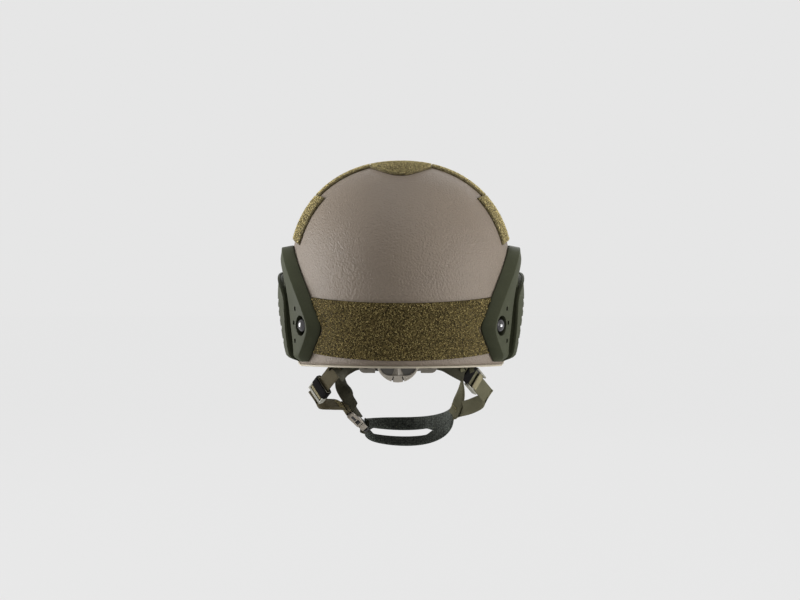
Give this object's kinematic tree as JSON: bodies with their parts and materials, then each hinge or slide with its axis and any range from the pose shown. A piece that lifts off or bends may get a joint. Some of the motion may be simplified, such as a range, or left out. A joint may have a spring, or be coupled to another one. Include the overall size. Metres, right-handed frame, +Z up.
{
  "type": "combat helmet",
  "caption": "high-cut protective helmet with side accessory rails, front shroud, loop panels, pad liner, nape fit dial and adjustable chin harness with side-release buckle",
  "frame": {"origin": "the centre of the shell's dome, on the level where the shell is widest; the wearer's head sits round it", "axes": "+Z up through the crown, +Y the way the wearer faces, +X the wearer's right, metres"},
  "size_m": [0.253, 0.2816, 0.3032],
  "materials": {
    "shell_coat": "fine matt texture",
    "loop_pile": "woven loop pile",
    "rail_plastic": "moulded, satin",
    "shroud_plate": "matt paint",
    "dark_steel": "black coat",
    "pad_cloth": "brushed knit over foam",
    "hook_tape": "woven hook tape and elastic",
    "dial_plastic": "moulded, matt",
    "webbing": "flat woven webbing",
    "buckle_plastic": "moulded, slight gloss",
    "cup_cloth": "knit over thin foam"
  },
  "bodies": {
    "helmet": {"shell": "shell_coat", "edge_trim": "shell_coat", "rear_loop_panel": "loop_pile", "crown_loop_patch": "loop_pile", "front_loop_panel": "loop_pile", "left_upper_loop": "loop_pile", "right_upper_loop": "loop_pile", "left_side_loop": "loop_pile", "right_side_loop": "loop_pile", "left_rail": "rail_plastic", "right_rail": "rail_plastic", "rail_bolts": "dark_steel", "rail_nuts": "dark_steel", "strap_anchors": "dark_steel", "shroud": "shroud_plate", "shroud_screw": "dark_steel", "shroud_nut": "dark_steel", "hook_discs": "hook_tape", "crown_pad": "pad_cloth", "front_pad": "pad_cloth", "rear_pad": "pad_cloth", "left_front_pad": "pad_cloth", "left_rear_pad": "pad_cloth", "right_front_pad": "pad_cloth", "right_rear_pad": "pad_cloth", "nape_pad": "pad_cloth", "nape_housing": "dial_plastic", "left_nape_strap": "webbing", "right_nape_strap": "webbing", "left_rear_strap": "webbing", "right_rear_strap": "webbing", "left_front_strap": "webbing", "right_front_strap": "webbing", "buckle_socket": "buckle_plastic", "chin_cup": "cup_cloth"},
    "dial": {"dial_knob": "dial_plastic", "dial_shaft": "dark_steel"},
    "left_wing": {"left_wing": "dial_plastic", "left_wing_roller": "dark_steel"},
    "right_wing": {"right_wing": "dial_plastic", "right_wing_roller": "dark_steel"},
    "plug": {"buckle_plug": "buckle_plastic", "strap_keeper": "hook_tape"},
    "rear_prong": {"rear_prong": "buckle_plastic"},
    "front_prong": {"front_prong": "buckle_plastic"},
    "left_slider": {"left_slider": "rail_plastic"},
    "right_slider": {"right_slider": "rail_plastic"}
  },
  "joints": [
    {"name": "dial_turn", "type": "hinge", "parent": "helmet", "child": "dial", "pos_m": [-0.003, -0.11, -0.08], "axis": [0, -1, 0], "range_deg": [-70, 70]},
    {"name": "left_wing_slide", "type": "slide", "parent": "helmet", "child": "left_wing", "axis": [-1, 0, 0], "range_m": [-0.005, 0.005], "deforming": ["left_nape_strap"]},
    {"name": "right_wing_slide", "type": "slide", "parent": "helmet", "child": "right_wing", "axis": [1, 0, 0], "range_m": [-0.005, 0.005], "deforming": ["right_nape_strap"]},
    {"name": "buckle_release", "type": "slide", "parent": "helmet", "child": "plug", "axis": [0.4484, 0.7113, -0.5412], "range_m": [0, 0.018], "deforming": ["chin_cup", "rear_prong", "front_prong"]},
    {"name": "rear_prong_press", "type": "hinge", "parent": "plug", "child": "rear_prong", "pos_m": [-0.0432, 0.01899, -0.15774], "axis": [-0.774, 0.0063, -0.6331], "range_deg": [0, 14], "stiffness_Nm_per_rad": 0.02},
    {"name": "front_prong_press", "type": "hinge", "parent": "plug", "child": "front_prong", "pos_m": [-0.0482, 0.02686, -0.15154], "axis": [0.774, -0.0063, 0.6331], "range_deg": [0, 14], "stiffness_Nm_per_rad": 0.02},
    {"name": "left_slider_slide", "type": "slide", "parent": "helmet", "child": "left_slider", "axis": [-0.443, 0.6691, -0.5967], "range_m": [-0.012, 0.002]},
    {"name": "right_slider_slide", "type": "slide", "parent": "helmet", "child": "right_slider", "axis": [0.4175, 0.7349, -0.5344], "range_m": [-0.003, 0.012]}
  ],
  "couplings": [
    {"joint": "left_wing_slide", "follows": "dial_turn", "m_per_rad": 0.004},
    {"joint": "right_wing_slide", "follows": "dial_turn", "m_per_rad": 0.004}
  ]
}
